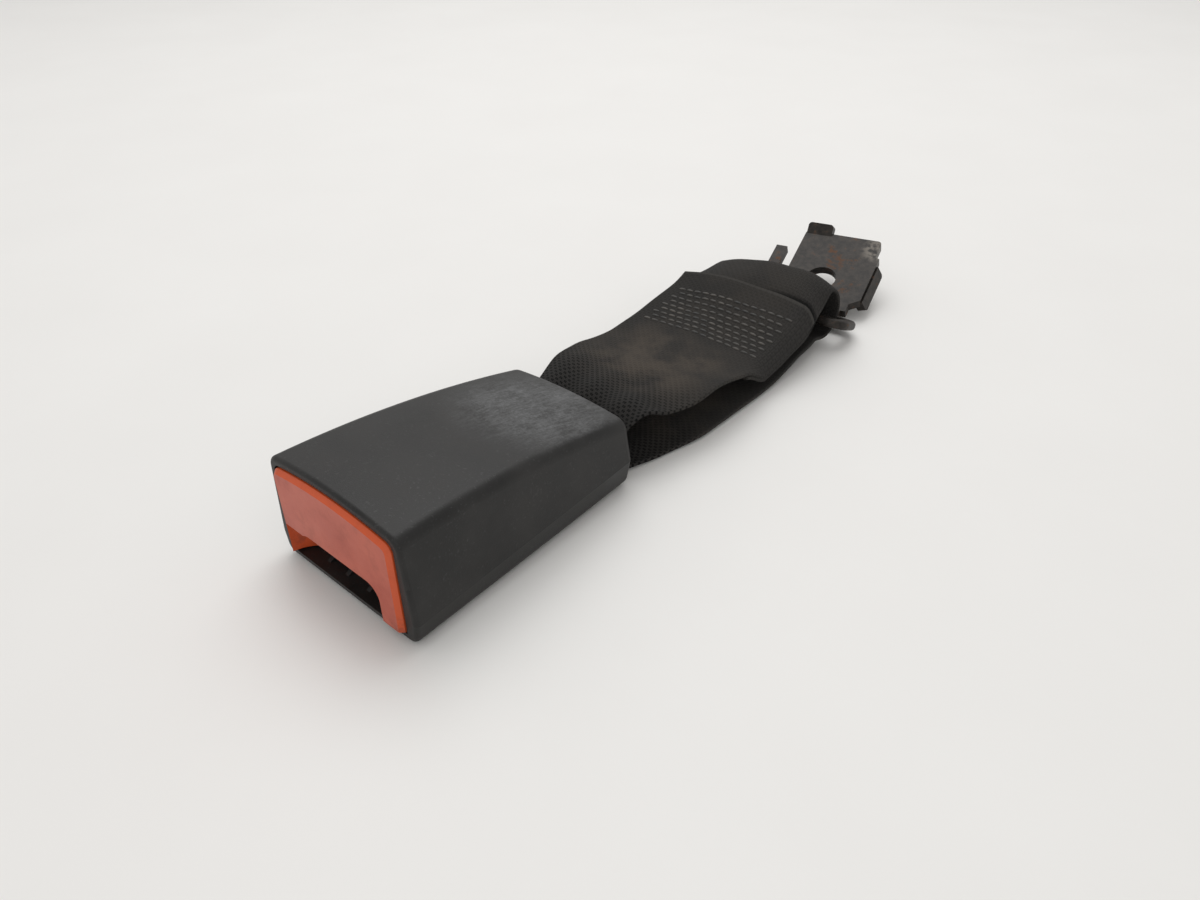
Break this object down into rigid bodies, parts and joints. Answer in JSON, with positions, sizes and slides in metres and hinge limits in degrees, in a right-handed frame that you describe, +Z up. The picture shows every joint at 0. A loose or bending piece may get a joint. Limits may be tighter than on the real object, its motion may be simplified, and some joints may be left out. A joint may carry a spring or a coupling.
{
  "type": "seat belt buckle",
  "caption": "Rear seat belt buckle: moulded latch head with a press button and tongue slot on a short sewn webbing loop with a bent steel floor anchor plate.",
  "frame": {"origin": "middle of the bolt hole in the anchor plate, at half the plate's thickness", "axes": "+Z up with the belt lying on a flat surface, +Y along the belt from the buckle's mouth to the anchor plate, +X to the right seen from the mouth"},
  "size_m": [0.0547, 0.2237, 0.031],
  "materials": {
    "cover_black": "fine moulded grain, scuffed on top",
    "button_red": "moulded orange red",
    "webbing_black": "woven polyester",
    "thread_black": "sewing thread",
    "anchor_steel": "dark phosphate, rubbed and rusted in places",
    "frame_steel": "zinc plated pressing",
    "pin_steel": "ground pin",
    "spring_steel": "drawn wire",
    "inner_plastic": "natural acetal"
  },
  "bodies": {
    "anchor": {"anchor_plate": "anchor_steel"},
    "strap": {"webbing": "webbing_black", "stitching": "thread_black"},
    "housing": {"upper_cover": "cover_black", "lower_cover": "cover_black", "frame": "frame_steel", "latch_pin": "pin_steel", "inertia_pin": "pin_steel", "retaining_rings": "spring_steel", "spring_block": "inner_plastic", "ejector_spring": "spring_steel", "lock_spring": "spring_steel", "button_spring_left": "spring_steel", "button_spring_right": "spring_steel"},
    "button": {"release_button": "button_red"},
    "ejector_slider": {"ejector": "inner_plastic"},
    "latch": {"latch_plate": "frame_steel"},
    "lock": {"lock_bar": "pin_steel"},
    "lever": {"inertia_lever": "frame_steel"}
  },
  "joints": [
    {"name": "strap_swing", "type": "hinge", "parent": "anchor", "child": "strap", "pos_m": [-0.0029, -0.02792, 0.00359], "axis": [1, 0, 0], "range_deg": [-35, 35]},
    {"name": "buckle_swing", "type": "hinge", "parent": "strap", "child": "housing", "pos_m": [-0.0029, -0.1312, -0.0013], "axis": [1, 0, 0], "range_deg": [-10, 10]},
    {"name": "button_slide", "type": "slide", "parent": "housing", "child": "button", "axis": [0, 1, 0], "range_m": [0, 0.005], "stiffness_N_per_m": 1500, "springref_m": -0.004, "deforming": ["button_spring_left", "button_spring_right"]},
    {"name": "ejector_slide", "type": "slide", "parent": "housing", "child": "ejector_slider", "axis": [0, 1, 0], "range_m": [0, 0.01], "stiffness_N_per_m": 800, "springref_m": -0.006, "deforming": ["ejector_spring"]},
    {"name": "latch_hinge", "type": "hinge", "parent": "housing", "child": "latch", "pos_m": [-0.0029, -0.1515, 0.0061], "axis": [1, 0, 0], "range_deg": [0, 16]},
    {"name": "lock_slide", "type": "slide", "parent": "housing", "child": "lock", "axis": [0, 1, 0], "range_m": [-0.0046, 0], "deforming": ["lock_spring"]},
    {"name": "lever_hinge", "type": "hinge", "parent": "housing", "child": "lever", "pos_m": [-0.0029, -0.1466, 0.0066], "axis": [1, 0, 0], "range_deg": [0, 6]}
  ],
  "couplings": [
    {"joint": "latch_hinge", "follows": "ejector_slide", "rad_per_m": 27.925},
    {"joint": "lock_slide", "follows": "ejector_slide", "ratio": -0.46},
    {"joint": "lever_hinge", "follows": "ejector_slide", "rad_per_m": 10.472}
  ]
}
